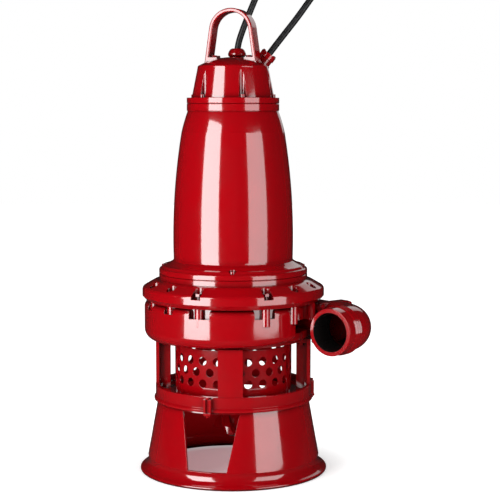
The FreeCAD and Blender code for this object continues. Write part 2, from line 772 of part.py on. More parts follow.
def bearing(foot, bore, outer_r, height):
    """Rings and balls of a deep-groove bearing: outer ring, inner ring, balls with cage."""
    mid_r = (bore + outer_r) / 2
    ball_r = (outer_r - bore) * 0.29
    z = foot + height / 2
    groove = Part.makeTorus(mid_r, ball_r + 0.3, V(0, 0, z))
    outer = disc(outer_r, mid_r + ball_r * 0.45, foot, foot + height).cut(groove)
    inner = disc(mid_r - ball_r * 0.45, bore, foot, foot + height).cut(groove)
    count = 9
    balls = ring_of(Part.makeSphere(ball_r, V(0, -mid_r, z)), count)
    cage = disc(mid_r + 1.6, mid_r - 1.6, z - ball_r * 0.55, z + ball_r * 0.55)
    return outer, inner, Part.makeCompound([cage.cut(balls)] + balls)


def bearing_bracket():
    """Lower bearing housing, on the oil housing and inside the motor's foot."""
    bracket = revolved([
        (50, 644),
        (158, 644),
        (158, 656),
        (92, 656),
        (84, 690),
        (72, 690),
        (72, 652),
        (50, 652),
    ])
    return bracket


def upper_bracket():
    """Upper bearing housing: a disc against the shoulder of the motor's bore."""
    bracket = revolved([
        (UPPER_BEARING_R, 1020),
        (64, 1020),
        (66, 1046),
        (140, 1046),
        (140, 1058),
        (60, 1058),
        (60, 1072),
        (34, 1072),
        (34, 1064),
        (UPPER_BEARING_R, 1064),
    ])
    holes = rod(16, V(0, -100, 1040), V(0, -100, 1065))
    screw_hole = rod(4, V(0, -BRACKET_SCREW_R, 1040), V(0, -BRACKET_SCREW_R, 1060))
    return bracket.cut(ring_of(holes, 6, 30) + ring_of(screw_hole, 6))


def bracket_screws():
    """Screws that hold the upper bearing housing against the motor housing."""
    screw = socket_screw(4, 6.5, 6, V(0, -BRACKET_SCREW_R, 1046), 26, V(0, 0, -1))
    return Part.makeCompound(ring_of(screw, 6))


def motor_housing():
    """Long tapered motor jacket: shoulder flange at its foot, ring at its top."""
    outer = [
        (SHOULDER_R - JOINT_CHAMFER, OIL_TOP_Z),
        (SHOULDER_R, OIL_TOP_Z + JOINT_CHAMFER),
        (SHOULDER_R, 640),
        (SHOULDER_R - 1.6, 644.2, 0),
        (SHOULDER_R - 6, 646.5),
        (222, 654),
        (204, 660, 0),
        (190.5, 668),
        (188.6, 671, 0),
        (188.2, 676),
        (181.5, 910, 0),
        (161.5, 1070),
        (149.5, 1114, 0),
        (MOTOR_RING_R - 2.5, MOTOR_RING_FOOT_Z),
        (MOTOR_RING_R, MOTOR_RING_FOOT_Z + 1),
        (MOTOR_RING_R, MOTOR_TOP_Z - JOINT_CHAMFER),
        (MOTOR_RING_R - JOINT_CHAMFER, MOTOR_TOP_Z),
    ]
    bore = [
        (110, MOTOR_TOP_Z),
        (110, 1130),
        (128, 1090),
        (128, 1058),
        (140, 1058),
        (140, 1030),
        (148, 980),
        (STATOR_R - 5, STATOR_TOP_Z + 12),
        (STATOR_R - 5, STATOR_TOP_Z),
        (STATOR_R, STATOR_TOP_Z),
        (STATOR_R, 700),
        (164, 660),
        (164, OIL_TOP_Z),
    ]
    jacket = revolved(outer + bore)
    screw_hole = rod(6, V(0, -SHOULDER_SCREW_R, 620), V(0, -SHOULDER_SCREW_R, 660))
    spot = rod(11, V(0, -SHOULDER_SCREW_R, 646), V(0, -SHOULDER_SCREW_R, 670))
    cover_hole = rod(5, V(0, -CAP_SCREW_R, MOTOR_TOP_Z - 26), V(0, -CAP_SCREW_R, MOTOR_TOP_Z + 5))
    bracket_hole = rod(4, V(0, -BRACKET_SCREW_R, 1050), V(0, -BRACKET_SCREW_R, 1073))
    groove = disc(O_RING_R + 2.7, O_RING_R - 2.7, MOTOR_TOP_Z - 5, MOTOR_TOP_Z + 1)
    return jacket.cut(
        ring_of(screw_hole, 4)
        + ring_of(spot, 4)
        + ring_of(cover_hole, CAP_SCREWS, CAP_SCREW_AZ)
        + ring_of(bracket_hole, 6)
        + [groove]
    )


def shoulder_screws():
    """Four long screws that clamp motor, oil housing and pump cover together."""
    screw = socket_screw(6, 9, 9, V(0, -SHOULDER_SCREW_R, 646), 56)
    return Part.makeCompound(ring_of(screw, 4))


def stator_core():
    """Laminated stator with open slots towards the rotor."""
    core = disc(STATOR_R, STATOR_BORE_R, STATOR_FOOT_Z, STATOR_TOP_Z)
    tall = STATOR_TOP_Z - STATOR_FOOT_Z + 10
    slot = block(11, 34, tall, V(0, -(STATOR_BORE_R + 14), (STATOR_TOP_Z + STATOR_FOOT_Z) / 2))
    return core.cut(ring_of(slot, STATOR_SLOTS))


def stator_windings():
    """Copper coils: bars in the slots, joined by the end turns above and below."""
    tall = STATOR_TOP_Z - STATOR_FOOT_Z + 8
    bar = block(10, 26, tall, V(0, -(STATOR_BORE_R + 17), (STATOR_TOP_Z + STATOR_FOOT_Z) / 2))
    end_turn = [
        (110, 0), (108, 12, 0), (114, 24), (126, 28, 0), (138, 24), (142, 12, 0), (138, 0),
    ]
    upper = revolved([(p[0], STATOR_TOP_Z + 1 + p[1]) + tuple(p[2:]) for p in end_turn])
    lower = revolved([(p[0], STATOR_FOOT_Z - 1 - p[1]) + tuple(p[2:]) for p in reversed(end_turn)])
    return joined([upper, lower] + ring_of(bar, STATOR_SLOTS))


def rotor_core():
    """Rotor laminations with their short-circuit rings."""
    outer = STATOR_BORE_R - ROTOR_GAP
    return revolved([
        (35, STATOR_FOOT_Z + 2),
        (outer - 12, STATOR_FOOT_Z + 2),
        (outer - 12, STATOR_FOOT_Z - 10),
        (outer - 1, STATOR_FOOT_Z - 10),
        (outer - 1, STATOR_FOOT_Z + 2),
        (outer, STATOR_FOOT_Z + 2),
        (outer, STATOR_TOP_Z - 2),
        (outer - 1, STATOR_TOP_Z - 2),
        (outer - 1, STATOR_TOP_Z + 10),
        (outer - 12, STATOR_TOP_Z + 10),
        (outer - 12, STATOR_TOP_Z - 2),
        (35, STATOR_TOP_Z - 2),
    ])


def o_ring():
    """Rubber ring in its groove under the end cover."""
    return Part.makeTorus(O_RING_R, 2.4, V(0, 0, MOTOR_TOP_Z - 2.5))


# ---------------------------------------------------------------- end cover, glands and handle
def side_point(distance):
    """Point on the side gland's axis, at a distance out of its seat."""
    return SIDE_SEAT.add(SIDE_WAY * distance)


def crown(radius, edge_r, edge_z, top_z):
    """Point for an outline on a spherical crown whose middle is on the axis."""
    rise = top_z - edge_z
    sphere_r = (edge_r ** 2 + rise ** 2) / (2 * rise)
    return radius, top_z - sphere_r + math.sqrt(sphere_r ** 2 - radius ** 2), 0


def top_cover():
    """Domed end cover: screw recesses, handle pads and the seats of both glands."""
    cover = revolved([
        (MOTOR_RING_R - JOINT_CHAMFER, MOTOR_TOP_Z),
        (MOTOR_RING_R, MOTOR_TOP_Z + JOINT_CHAMFER),
        (MOTOR_RING_R, CAP_FLANGE_Z),
        (129, CAP_FLANGE_Z),
        (110.5, 1270),
        (109.3, 1274.5, 0),
        (105.5, 1277.2),
        crown(55, 105.5, 1277.2, 1303),
        (0, 1303),
        (0, 1290),
        crown(50, 90, 1272, 1290),
        (90, 1272),
        (100, 1240),
        (106, 1190),
        (106, MOTOR_TOP_Z),
    ])
    recess = rod(10, V(0, -RECESS_R, CAP_FLANGE_Z), V(0, -RECESS_R, RECESS_TOP_Z))
    recess_middle = (CAP_FLANGE_Z + RECESS_TOP_Z) / 2
    mouth = block(20, 40, RECESS_TOP_Z - CAP_FLANGE_Z, V(0, -(RECESS_R + 20), recess_middle))
    recess = recess.fuse(mouth)
    hole = rod(5, V(0, -CAP_SCREW_R, MOTOR_TOP_Z - 5), V(0, -CAP_SCREW_R, CAP_FLANGE_Z + 5))
    pads = []
    levels = []
    for x in (-1, 1):
        pad = block(HANDLE_FOOT_LENGTH, HANDLE_WIDTH, 18, V(x * HANDLE_FOOT_X, 0, HANDLE_FOOT_Z - 9))
        over = V(x * HANDLE_FOOT_X, 0, HANDLE_FOOT_Z + 15)
        level = block(HANDLE_FOOT_LENGTH + 4, HANDLE_WIDTH + 4, 30, over)
        pads.append(turned(pad, -HANDLE_YAW))
        levels.append(turned(level, -HANDLE_YAW))
    boss = rod(27, side_point(-34), SIDE_SEAT)
    boss = boss.common(rod(114, V(0, 0, 1200), V(0, 0, 1400)))
    side_seat = rod(30, SIDE_SEAT, side_point(40))
    power_seat = rod(23, POWER_SEAT, POWER_SEAT.add(V(0, 0, 30)))
    inside = revolved([(0, 1100), (105, 1100), (105, 1190), (99, 1240), (89, 1272), (0, 1286)])
    cover = cover.fuse([boss.cut(inside)] + pads)
    wire_way = [
        rod(14, POWER_SEAT.sub(V(0, 0, 43)), POWER_SEAT.add(V(0, 0, 27))),
        rod(14, side_point(-60), side_point(10)),
    ]
    handle_holes = [rod(5, p.sub(V(0, 0, 22)), p.add(V(0, 0, 5))) for p in handle_screw_points()]
    return cover.cut(
        ring_of(recess, CAP_SCREWS, CAP_SCREW_AZ)
        + ring_of(hole, CAP_SCREWS, CAP_SCREW_AZ)
        + levels
        + [side_seat, power_seat]
        + wire_way
        + handle_holes
    )


def top_cover_screws():
    """Six socket screws at the foot of the recesses."""
    screw = socket_screw(5, 8, 10, V(0, -CAP_SCREW_R, CAP_FLANGE_Z), 40)
    return Part.makeCompound(ring_of(screw, CAP_SCREWS, CAP_SCREW_AZ))


def handle_outline(inset):
    """Corner points of the hoop's outline, from the left foot to the right."""
    radius = HANDLE_R - inset
    splay = math.radians(HANDLE_SPLAY)
    touch = V(radius * math.cos(splay), 0, HANDLE_BEND_Z + radius * math.sin(splay))
    foot_z = HANDLE_FOOT_Z
    foot = V(touch.x + (touch.z - foot_z) * math.tan(splay), 0, foot_z)
    return touch, foot


def lifting_handle():
    """Flat bar bent to a hoop, with feet turned inwards onto the cover's pads."""
    outer_touch, outer_foot = handle_outline(0)
    inner_touch, inner_foot = handle_outline(HANDLE_BAR)
    foot_in = outer_foot.x - HANDLE_FOOT_LENGTH
    shelf = HANDLE_FOOT_Z + HANDLE_BAR
    inner_shelf_x = inner_foot.x - HANDLE_BAR * math.tan(math.radians(HANDLE_SPLAY))
    apex = V(0, 0, HANDLE_BEND_Z + HANDLE_R)
    inner_apex = V(0, 0, HANDLE_BEND_Z + HANDLE_R - HANDLE_BAR)

    def left(p):
        return V(-p.x, p.y, p.z)

    edges = [
        Part.makeLine(left(outer_foot), left(outer_touch)),
        Part.Arc(left(outer_touch), apex, outer_touch).toShape(),
        Part.makeLine(outer_touch, outer_foot),
        Part.makeLine(outer_foot, V(foot_in, 0, HANDLE_FOOT_Z)),
        Part.makeLine(V(foot_in, 0, HANDLE_FOOT_Z), V(foot_in, 0, shelf)),
        Part.makeLine(V(foot_in, 0, shelf), V(inner_shelf_x, 0, shelf)),
        Part.makeLine(V(inner_shelf_x, 0, shelf), inner_touch),
        Part.Arc(inner_touch, inner_apex, left(inner_touch)).toShape(),
        Part.makeLine(left(inner_touch), V(-inner_shelf_x, 0, shelf)),
        Part.makeLine(V(-inner_shelf_x, 0, shelf), V(-foot_in, 0, shelf)),
        Part.makeLine(V(-foot_in, 0, shelf), V(-foot_in, 0, HANDLE_FOOT_Z)),
        Part.makeLine(V(-foot_in, 0, HANDLE_FOOT_Z), left(outer_foot)),
    ]
    bar = Part.Face(Part.Wire(edges)).extrude(V(0, HANDLE_WIDTH, 0))
    bar.translate(V(0, -HANDLE_WIDTH / 2, 0))
    long_edges = []
    for e in bar.Edges:
        lengthwise = abs(e.tangentAt(e.FirstParameter).y) < 0.1
        if lengthwise and e.CenterOfMass.z > shelf + 1:
            long_edges.append(e)
    bar = bar.makeFillet(HANDLE_EDGE_R, long_edges)
    bar = turned(bar, -HANDLE_YAW)
    return bar.cut([rod(5, p.sub(V(0, 0, 5)), p.add(V(0, 0, 20))) for p in handle_screw_points()])


HANDLE_FOOT_X = handle_outline(0)[1].x - HANDLE_FOOT_LENGTH / 2


def handle_screw_points():
    """Underside centres of the four handle screws, on the pads."""
    points = []
    for x in (-1, 1):
        for y in (-1, 1):
            p = V(x * (HANDLE_FOOT_X - 8), y * 16, HANDLE_FOOT_Z)
            points.append(FreeCAD.Rotation(AXIS, -HANDLE_YAW).multVec(p))
    return points


def handle_screws():
    """Four hexagon screws through the handle's feet."""
    screws = []
    for p in handle_screw_points():
        screws.append(hex_bolt(5, 15, 6, p.add(V(0, 0, HANDLE_BAR)), HANDLE_BAR + 18))
    return Part.makeCompound(screws)


def power_gland():
    """Domed gland nut of the power cable, standing on the cover."""
    nut = revolved([
        (CABLE_R + 4, 0), (21, 0), (21, 11), (26, 14), (28.5, 21, 0), (26, 28), (21, 36, 0), (16, 39),
        (CABLE_R + 4, 39),
    ])
    nut.translate(POWER_SEAT)
    return nut


def power_grommet():
    """Rubber sleeve that the power gland squeezes round its cable."""
    return tube(CABLE_R + 4, CABLE_R, POWER_SEAT.sub(V(0, 0, 10)), POWER_SEAT.add(V(0, 0, 39)))


def side_gland():
    """Gland of the control cable: round body with a shallow groove below its cap."""
    body = rod(23, SIDE_SEAT, side_point(22)).fuse([
        rod(25.5, side_point(22), side_point(40)),
        rod(26, SIDE_SEAT, side_point(6)),
    ])
    body = body.makeFillet(1.5, [max(body.Edges, key=lambda e: e.CenterOfMass.dot(SIDE_WAY))])
    screw_holes = [rod(2.5, p.sub(SIDE_WAY * 12), p.add(SIDE_WAY * 5)) for p in side_screw_points()]
    return body.cut([rod(CABLE_R + 4, side_point(-5), side_point(45))] + screw_holes)


def side_gland_screws():
    """Two screws in the control gland's cap."""
    return Part.makeCompound([
        socket_screw(2.5, 4.5, 3.5, p, 12, SIDE_WAY) for p in side_screw_points()
    ])


def side_screw_points():
    """Seats of the two screws, on the cap's face."""
    shift = SIDE_WAY.cross(V(0, 1, 0))
    return [side_point(40).add(shift * (19 * side)) for side in (-1, 1)]


def side_grommet():
    """Rubber sleeve that the control gland squeezes round its cable."""
    return tube(CABLE_R + 4, CABLE_R, side_point(-4), side_point(40))


def terminal_board():
    """Insulating board above the upper bearing, with its studs and legs."""
    board = block(154, 56, 10, V(0, -10, 1110))
    legs = [rod(6, V(x, -10, 1058), V(x, -10, 1106)) for x in (-70, 70)]
    studs = [rod(3.5, V(x, y, 1110), V(x, y, 1128)) for x in (-50, -25, 0, 25, 50) for y in (-26, 6)]
    return joined([board] + legs + studs)


# ---------------------------------------------------------------- cables
def cord(points, radius):
    """Round cable along straight runs joined by tangent arcs."""
    edges = []
    at = points[0]
    for k in range(1, len(points) - 1):
        before = points[k].sub(points[k - 1])
        after = points[k + 1].sub(points[k])
        half_turn = before.getAngle(after) / 2
        reach = 0.45 * min(before.Length, after.Length)
        into = V(before).normalize()
        out = V(after).normalize()
        start = points[k].sub(into * reach)
        end = points[k].add(out * reach)
        bend_r = reach / math.tan(half_turn)
        sag = bend_r * (1 / math.cos(half_turn) - 1)
        inward = out.sub(into).normalize()
        edges.append(Part.makeLine(at, start))
        edges.append(Part.Arc(start, points[k].add(inward * sag), end).toShape())
        print(f"  bend radius {bend_r:7.1f}")
        at = end
    edges.append(Part.makeLine(at, points[-1]))
    path = Part.Wire(edges)
    profile = Part.Wire(Part.makeCircle(radius, points[0], points[1].sub(points[0])))
    shape = path.makePipeShell([profile], True, False)
    length = path.Length
    print(f"  cable length {length:.1f}  volume / (section x length) "
          f"{shape.Volume / (math.pi * radius ** 2 * length):.4f}")
    return shape


def cable_grip(points):
    """Suspension grip at a cable's end: clamped sleeve and lifting eye."""
    end = points[-1]
    way = V(end.sub(points[-2])).normalize()
    sleeve = Part.makeCone(CABLE_R + 3, CABLE_R + 7, 44, end, way)
    eye_centre = end.add(way * 64)
    across = V(0, 1, 0)
    eye = Part.makeTorus(18, 5, eye_centre, across)
    neck = rod(8, end.add(way * 40), end.add(way * 50))
    return joined([sleeve, neck, eye])


write("base_skirt", base_skirt())
write("strainer_frame", strainer_frame())
write("leg_screws", leg_screws())
write("clamp_bolts", clamp_bolts())
write("strainer_plate", strainer_plate())
write("suction_cover", suction_cover())
write("volute_casing", volute_casing())
write("casing_gasket", casing_gasket())
write("pump_cover", pump_cover())
write("pump_cover_bolts", pump_cover_bolts())
write("discharge_gasket", discharge_gasket())
write("discharge_elbow", discharge_elbow())
write("elbow_bolts", elbow_bolts())
write("hose_spigot", hose_spigot())
write("impeller", impeller())
write("impeller_nut", impeller_nut())
write("agitator", agitator())
write("agitator_nut", agitator_nut())
write("shaft", shaft())
write("lower_seal_seat", seal_seat(556, 38))
write("lower_seal_rotor", seal_rotor(566.5))
write("seal_spring", seal_spring(582, 618))
write("upper_seal_rotor", seal_rotor(619))
write("upper_seal_seat", seal_seat(633.5, 50))
write("oil_housing", oil_housing())
write("oil_plug", oil_plug())
write("bearing_bracket", bearing_bracket())
outer_ring, inner_ring, balls = bearing(LOWER_BEARING_Z, LOWER_BEARING_BORE, LOWER_BEARING_R, 36)
write("lower_bearing_outer", outer_ring)
write("lower_bearing_inner", inner_ring)
write("lower_bearing_balls", balls)
outer_ring, inner_ring, balls = bearing(UPPER_BEARING_Z, UPPER_BEARING_BORE, UPPER_BEARING_R, 28)
write("upper_bearing_outer", outer_ring)
write("upper_bearing_inner", inner_ring)
write("upper_bearing_balls", balls)
write("upper_bearing_bracket", upper_bracket())
write("bracket_screws", bracket_screws())
write("motor_housing", motor_housing())
write("shoulder_screws", shoulder_screws())
write("stator_core", stator_core())
write("stator_windings", stator_windings())
write("rotor_core", rotor_core())
write("terminal_board", terminal_board())
write("cover_o_ring", o_ring())
write("top_cover", top_cover())
write("top_cover_screws", top_cover_screws())
write("lifting_handle", lifting_handle())
write("handle_screws", handle_screws())
write("power_gland", power_gland())
write("power_grommet", power_grommet())
write("side_gland", side_gland())
write("side_gland_screws", side_gland_screws())
write("side_grommet", side_grommet())
write("power_cable", cord(POWER_ROUTE, CABLE_R))
write("control_cable", cord(CONTROL_ROUTE, CABLE_R))
write("power_cable_grip", cable_grip(POWER_ROUTE))
write("control_cable_grip", cable_grip(CONTROL_ROUTE))
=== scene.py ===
import math

import bpy
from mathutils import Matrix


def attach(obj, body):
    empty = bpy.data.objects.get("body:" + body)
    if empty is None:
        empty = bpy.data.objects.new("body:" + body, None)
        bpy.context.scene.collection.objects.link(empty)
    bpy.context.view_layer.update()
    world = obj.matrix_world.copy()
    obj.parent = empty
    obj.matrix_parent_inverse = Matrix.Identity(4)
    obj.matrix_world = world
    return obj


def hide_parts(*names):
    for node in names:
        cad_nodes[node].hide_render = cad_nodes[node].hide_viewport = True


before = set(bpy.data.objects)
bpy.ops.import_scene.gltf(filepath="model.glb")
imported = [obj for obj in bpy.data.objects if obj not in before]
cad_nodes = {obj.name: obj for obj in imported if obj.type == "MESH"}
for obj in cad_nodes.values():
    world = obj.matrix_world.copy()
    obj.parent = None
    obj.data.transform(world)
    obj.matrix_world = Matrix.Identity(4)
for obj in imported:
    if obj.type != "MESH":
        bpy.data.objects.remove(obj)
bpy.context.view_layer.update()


# ---------------------------------------------------------------------------------------------
# The viewer stands about four and a half metres in front of the pump, a little below its top,
# and looks slightly down at it through a long lens.
# ---------------------------------------------------------------------------------------------
camera = bpy.data.objects.new("viewer", bpy.data.cameras.new("viewer"))
bpy.context.scene.collection.objects.link(camera)
camera.data.sensor_width = 36.0
camera.data.lens = 100.8
camera.location = (0.053, -4.400, 1.148)
camera.rotation_euler = (math.radians(90.0 - 5.83), 0.0, 0.0)
bpy.context.scene.camera = camera
bpy.context.scene.view_settings.view_transform = "Standard"


# ---------------------------------------------------------------------------------------------
# The two cables: round, black, rubber-sheathed submersible cable. The power cable leaves the
# gland in the dome of the end cover, the control cable the slanted gland beside it, and both
# are drawn tight towards the crane above.
# ---------------------------------------------------------------------------------------------
CABLE_RADIUS = 0.010
POWER_ROUTE = [
    (0.012, 0.066, 1.310),
    (0.0135, 0.066, 1.340),
    (0.029, 0.067, 1.388),
    (0.049, 0.069, 1.438),
    (0.075, 0.071, 1.500),
]
CONTROL_ROUTE = [
    (0.1015, 0.034, 1.2985),
    (0.1207, 0.0344, 1.324),
    (0.158, 0.036, 1.372),
    (0.199, 0.038, 1.4235),
    (0.2405, 0.040, 1.481),
    (0.268, 0.0415, 1.521),
]


def put(tree, kind, links=(), **settings):
    """One shader node: settings are its properties, links its (input, value or socket) pairs."""
    node = tree.nodes.new(kind)
    for key, value in settings.items():
        setattr(node, key, value)
    for socket, value in links:
        if isinstance(value, bpy.types.NodeSocket):
            tree.links.new(value, node.inputs[socket])
        else:
            node.inputs[socket].default_value = value
    return node


def shader_group(name, takes, gives):
    """An empty shader group with its input sockets (name, kind, value) and outputs (name, kind)."""
    group = bpy.data.node_groups.new(name, "ShaderNodeTree")
    for socket, kind, value in takes:
        made = group.interface.new_socket(socket, in_out="INPUT", socket_type="NodeSocket" + kind)
        if value is not None:
            made.default_value = value
    for socket, kind in gives:
        group.interface.new_socket(socket, in_out="OUTPUT", socket_type="NodeSocket" + kind)
    return group, group.nodes.new("NodeGroupInput"), group.nodes.new("NodeGroupOutput")


def blank_material(name):
    """A material with one Principled shader, its node tree and the object's own coordinates."""
    material = bpy.data.materials.new(name)
    material.use_nodes = True
    tree = material.node_tree
    shader = tree.nodes["Principled BSDF"]
    place = tree.nodes.new("ShaderNodeTexCoord").outputs["Object"]
    return material, tree, shader, place


def mixed(tree, share, first, second):
    """The colour that lies share of the way from the first colour to the second."""
    node = put(tree, "ShaderNodeMix", data_type="RGBA")
    for socket, value in ((0, share), (6, first), (7, second)):
        if isinstance(value, bpy.types.NodeSocket):
            tree.links.new(value, node.inputs[socket])
        else:
            node.inputs[socket].default_value = value
    return node.outputs[2]


def spread(tree, value, low, high, to_low, to_high):
    """A value carried from the range low to high on to the range to_low to to_high."""
    links = [(0, value), (1, low), (2, high), (3, to_low), (4, to_high)]
    return put(tree, "ShaderNodeMapRange", links).outputs[0]


# grain: a fine noise over a coarse one, as height, with the height pressed into the normal
grain_group, taken, given = shader_group(
    "grain",
    [("Place", "Vector", None), ("Scale", "Float", 400.0), ("Depth", "Float", 0.0001),
     ("Normal", "Vector", None)],
    [("Value", "Float"), ("Normal", "Vector")],
)
fine = put(grain_group, "ShaderNodeTexNoise",
           [("Vector", taken.outputs["Place"]), ("Scale", taken.outputs["Scale"]), ("Detail", 3.0)])
wide_scale = put(grain_group, "ShaderNodeMath", [(0, taken.outputs["Scale"]), (1, 0.06)],
                 operation="MULTIPLY")
wide = put(grain_group, "ShaderNodeTexNoise",
           [("Vector", taken.outputs["Place"]), ("Scale", wide_scale.outputs[0]), ("Detail", 4.0)])
height = put(grain_group, "ShaderNodeMath", [(0, wide.outputs[0]), (1, 2.0), (2, fine.outputs[0])],
             operation="MULTIPLY_ADD")
press = put(grain_group, "ShaderNodeBump",
            [("Strength", 1.0), ("Distance", taken.outputs["Depth"]), ("Height", height.outputs[0]),
             ("Normal", taken.outputs["Normal"])])
grain_group.links.new(wide.outputs[0], given.inputs["Value"])
grain_group.links.new(press.outputs[0], given.inputs["Normal"])

# edges: where a surface turns sharply, and how far a corner hides it from the open air, which is
# used to paint shade into corners
edge_and_shade_group, taken, given = shader_group(
    "edges",
    [("Radius", "Float", 0.0015), ("Reach", "Float", 0.02)],
    [("Edge", "Float"), ("PaintedShade", "Float"), ("Rounded", "Vector")],
)
rounded = put(edge_and_shade_group, "ShaderNodeBevel", [("Radius", taken.outputs["Radius"])], samples=4)
facing = put(edge_and_shade_group, "ShaderNodeNewGeometry")
likeness = put(edge_and_shade_group, "ShaderNodeVectorMath",
               [(0, rounded.outputs[0]), (1, facing.outputs["Normal"])], operation="DOT_PRODUCT")
sharp = spread(edge_and_shade_group, likeness.outputs["Value"], 0.995, 0.90, 0.0, 1.0)
# painted shade: the occlusion below becomes a mask that darkens corners, recesses and joints in the
# colour
shade = put(edge_and_shade_group, "ShaderNodeAmbientOcclusion", [("Distance", taken.outputs["Reach"])],
            samples=4)
painted_shade_mask = spread(edge_and_shade_group, shade.outputs["AO"], 1.0, 0.35, 0.0, 1.0)
edge_and_shade_group.links.new(sharp, given.inputs["Edge"])
edge_and_shade_group.links.new(painted_shade_mask, given.inputs["PaintedShade"])
edge_and_shade_group.links.new(rounded.outputs[0], given.inputs["Rounded"])


def placed_group(tree, group, links):
    """One use of a shader group in a material's tree."""
    return put(tree, "ShaderNodeGroup", links, node_tree=group)


def rubber(name, black, grey, roughness):
    """Black rubber: a fine matt grain, lighter scuffed patches and a dull sheen."""
    material, tree, shader, place = blank_material(name)
    edges = placed_group(tree, edge_and_shade_group, [("Radius", 0.0008), ("Reach", 0.008)])
    grain = placed_group(tree, grain_group,
                         [("Place", place), ("Scale", 1400.0), ("Depth", 0.00006),
                          ("Normal", edges.outputs["Rounded"])])
    scuffed = spread(tree, grain.outputs["Value"], 0.40, 0.75, 0.0, 1.0)
    colour = mixed(tree, scuffed, black, grey)
    tree.links.new(mixed(tree, edges.outputs["Edge"], colour, grey), shader.inputs["Base Color"])
    dullness = spread(tree, grain.outputs["Value"], 0.3, 0.7, roughness - 0.08, roughness + 0.08)
    tree.links.new(dullness, shader.inputs["Roughness"])
    tree.links.new(grain.outputs["Normal"], shader.inputs["Normal"])
    shader.inputs["Specular IOR Level"].default_value = 0.45
    return material


cable_rubber = rubber("cable_rubber", (0.005, 0.005, 0.006, 1), (0.018, 0.018, 0.020, 1), 0.42)


def cable_curve(name, route):
    """A round cable whose centre line is one smooth spline drawn through the pull of its route."""
    curve = bpy.data.curves.new(name, "CURVE")
    curve.dimensions = "3D"
    spline = curve.splines.new("NURBS")
    spline.points.add(len(route) - 1)
    for point, (x, y, z) in zip(spline.points, route):
        point.co = (x, y, z, 1.0)
    spline.order_u = 3
    spline.use_endpoint_u = True
    spline.resolution_u = 24
    curve.bevel_depth = CABLE_RADIUS
    curve.bevel_resolution = 10
    curve.use_fill_caps = True
    curve.materials.append(cable_rubber)
    cable = bpy.data.objects.new(name, curve)
    bpy.context.scene.collection.objects.link(cable)
    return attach(cable, "pump_body")


power_cable = cable_curve("power_cable_sheath", POWER_ROUTE)
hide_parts("power_cable")
control_cable = cable_curve("control_cable_sheath", CONTROL_ROUTE)
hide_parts("control_cable")


def dress(material, *names):
    """Puts a finish on CAD parts, whose shapes stay as they are."""
    for name in names:
        cad_nodes[name].data.materials.clear()
        cad_nodes[name].data.materials.append(material)


# ---------------------------------------------------------------------------------------------
# The cable grips: a drawn steel sleeve that closes on each cable, with a forged eye for the
# lifting line, hot-dip galvanised, so grey with a soft spangle.
# ---------------------------------------------------------------------------------------------
def bare_metal(name, colour, worn, roughness, grain_scale, grain_depth, edge_radius=0.0006):
    """Bare metal: tone and polish vary with the grain, edges are rubbed bright, corners carry
    painted shade.
    """
    material, tree, shader, place = blank_material(name)
    edges = placed_group(tree, edge_and_shade_group, [("Radius", edge_radius), ("Reach", 0.010)])
    grain = placed_group(tree, grain_group,
                         [("Place", place), ("Scale", grain_scale), ("Depth", grain_depth),
                          ("Normal", edges.outputs["Rounded"])])
    dull = tuple(0.55 * c for c in colour[:3]) + (1,)
    toned = mixed(tree, spread(tree, grain.outputs["Value"], 0.35, 0.70, 0.0, 0.6), colour, dull)
    # painted shade: corners and recesses darkened towards the dull tone by the occlusion mask
    tone_with_painted_shade = mixed(tree, spread(tree, edges.outputs["PaintedShade"], 0.0, 1.0, 0.0, 0.7), toned, dull)
    tree.links.new(mixed(tree, edges.outputs["Edge"], tone_with_painted_shade, worn), shader.inputs["Base Color"])
    dullness = spread(tree, grain.outputs["Value"], 0.3, 0.7, 0.75 * roughness, 1.25 * roughness)
    tree.links.new(dullness, shader.inputs["Roughness"])
    tree.links.new(grain.outputs["Normal"], shader.inputs["Normal"])
    shader.inputs["Metallic"].default_value = 1.0
    return material


galvanised = bare_metal("galvanised_steel", (0.46, 0.47, 0.48, 1), (0.66, 0.67, 0.68, 1),
                        0.42, 500.0, 0.00004)
dress(galvanised, "power_cable_grip", "control_cable_grip")


# ---------------------------------------------------------------------------------------------
# The base: a flared skirt rolled from plate, with a rolled rim at the floor and a window each
# side for the slurry, welded to the turned ring that carries the strainer. Red enamel all over.
# ---------------------------------------------------------------------------------------------
ENAMEL_RED = (0.370, 0.0004, 0.0036, 1)
ENAMEL_DEEP = (0.285, 0.0003, 0.0027, 1)
# painted shade: the near-black red that corners, recesses and joints are darkened towards
ENAMEL_CORNER_SHADE = (0.070, 0.0002, 0.0008, 1)
ENAMEL_THIN = (0.340, 0.0030, 0.0050, 1)


